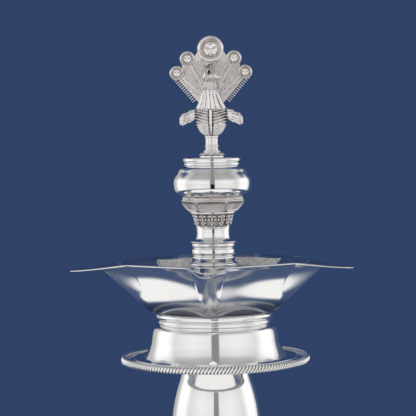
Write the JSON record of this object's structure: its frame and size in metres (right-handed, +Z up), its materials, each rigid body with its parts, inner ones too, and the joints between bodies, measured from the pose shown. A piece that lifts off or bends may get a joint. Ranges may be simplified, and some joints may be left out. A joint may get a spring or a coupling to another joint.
{
  "type": "standing oil lamp",
  "caption": "Polished silver standing oil lamp with a spouted dish for wicks, a rope-edged drip plate, a baluster stem, a spreading foot and a peacock finial.",
  "frame": {"origin": "centre of the foot's resting face, on the lamp's axis", "axes": "+Z up along the axis, -Y toward the front spout and the peacock's breast, +X to the right seen from the front"},
  "size_m": [0.1408, 0.1339, 0.2662],
  "materials": {
    "polished_silver": "mirror-polished silver sheet",
    "cast_silver": "cast and chased silver, dark brown in the hollows",
    "screw_brass": "turned brass screw fittings"
  },
  "bodies": {
    "foot": {"foot_rest_ring": "polished_silver", "foot_plate": "polished_silver", "foot_rope": "cast_silver", "foot_cushion": "polished_silver", "foot_bell": "polished_silver", "foot_collar": "polished_silver", "foot_bush": "screw_brass"},
    "waist": {"waist_knop": "polished_silver"},
    "stem": {"stem_bead": "polished_silver", "stem_plug": "screw_brass", "stem_stud": "screw_brass", "stem_shell": "polished_silver", "stem_top_ring": "polished_silver", "drip_plate": "polished_silver", "plate_rope": "cast_silver", "plate_step": "polished_silver", "drum_shell": "polished_silver", "drum_bush": "screw_brass", "drum_ring": "polished_silver"},
    "ring": {"dish_ring": "polished_silver"},
    "dish": {"dish_stud": "screw_brass", "oil_dish": "polished_silver", "dish_hub": "polished_silver", "hub_bush": "screw_brass"},
    "flange": {"column_flange": "polished_silver"},
    "column": {"column_stud": "screw_brass", "collar": "polished_silver", "neck": "polished_silver", "leaf_core": "polished_silver", "capital_leaves": "cast_silver", "capital_disc": "polished_silver", "capital_cup": "polished_silver", "capital_petals": "cast_silver", "capital_buds": "cast_silver", "globe_lower": "polished_silver", "globe_upper": "polished_silver", "globe_mouth": "polished_silver", "cap_disc": "polished_silver", "cap_bush": "screw_brass"},
    "washer": {"finial_washer": "polished_silver"},
    "peacock": {"finial_stud": "screw_brass", "perch_leaves": "cast_silver", "perch_post": "cast_silver", "peacock_body": "cast_silver", "peacock_neck": "cast_silver", "peacock_head": "cast_silver", "peacock_crest": "cast_silver", "peacock_beak": "cast_silver", "wing_left": "cast_silver", "wing_right": "cast_silver", "tail_fan": "cast_silver", "tail_ribs": "cast_silver", "tail_edges": "cast_silver", "medallion_rings": "cast_silver", "medallion_bosses": "cast_silver"}
  },
  "joints": [
    {"name": "stem_lift", "type": "slide", "parent": "foot", "child": "waist", "axis": [0, 0, 1], "range_m": [0, 0.00875]},
    {"name": "stem_screw", "type": "hinge", "parent": "waist", "child": "stem", "pos_m": [0, 0, 0.037], "axis": [0, 0, 1], "range_deg": [0, 2520.5]},
    {"name": "dish_lift", "type": "slide", "parent": "stem", "child": "ring", "axis": [0, 0, 1], "range_m": [0, 0.00875]},
    {"name": "dish_screw", "type": "hinge", "parent": "ring", "child": "dish", "pos_m": [0, 0, 0.1249], "axis": [0, 0, 1], "range_deg": [0, 2520.5]},
    {"name": "column_lift", "type": "slide", "parent": "dish", "child": "flange", "axis": [0, 0, 1], "range_m": [0, 0.007]},
    {"name": "column_screw", "type": "hinge", "parent": "flange", "child": "column", "pos_m": [0, 0, 0.151], "axis": [0, 0, 1], "range_deg": [0, 2520.5]},
    {"name": "peacock_lift", "type": "slide", "parent": "column", "child": "washer", "axis": [0, 0, 1], "range_m": [0, 0.0049]},
    {"name": "peacock_screw", "type": "hinge", "parent": "washer", "child": "peacock", "pos_m": [0, 0, 0.2055], "axis": [0, 0, 1], "range_deg": [0, 2520.5]}
  ],
  "couplings": [
    {"joint": "stem_screw", "follows": "stem_lift", "rad_per_m": 5026.5},
    {"joint": "dish_screw", "follows": "dish_lift", "rad_per_m": 5026.5},
    {"joint": "column_screw", "follows": "column_lift", "rad_per_m": 6283.2},
    {"joint": "peacock_screw", "follows": "peacock_lift", "rad_per_m": 8976}
  ]
}
